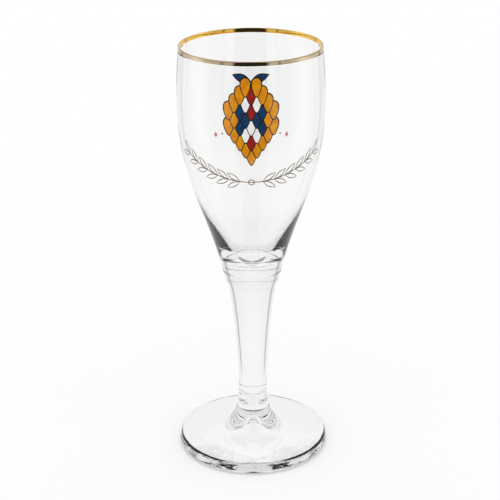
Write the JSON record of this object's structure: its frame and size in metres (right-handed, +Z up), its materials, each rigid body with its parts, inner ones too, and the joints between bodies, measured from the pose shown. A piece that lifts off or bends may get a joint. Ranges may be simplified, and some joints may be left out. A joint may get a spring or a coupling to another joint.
{
  "type": "chalice beer glass",
  "caption": "Footed chalice beer glass: blown bowl, collar, solid flared stem and pressed foot, with gilt rim and fired enamel decoration.",
  "frame": {"origin": "centre of the foot's resting ring, on the table", "axes": "+Z up along the glass's axis, -Y towards the painted front, +X to the right seen from the front"},
  "size_m": [0.079, 0.0788, 0.2176],
  "materials": {
    "clear_glass": "fire-polished clear glass",
    "rim_gold": "bright fired gold",
    "line_gold": "fine fired gold line",
    "black_enamel": "fired gloss enamel",
    "amber_enamel": "fired gloss enamel",
    "blue_enamel": "fired gloss enamel",
    "red_enamel": "fired gloss enamel",
    "white_enamel": "fired gloss enamel",
    "rose_enamel": "fired gloss enamel"
  },
  "bodies": {
    "root": {"bowl": "clear_glass", "collar": "clear_glass", "stem": "clear_glass", "foot": "clear_glass", "rim_gilding": "rim_gold", "cone_outline": "black_enamel", "cone_amber": "amber_enamel", "cone_blue": "blue_enamel", "cone_red": "red_enamel", "cone_white": "white_enamel", "laurel_gilding": "line_gold", "back_lozenges": "rose_enamel"}
  },
  "joints": []
}
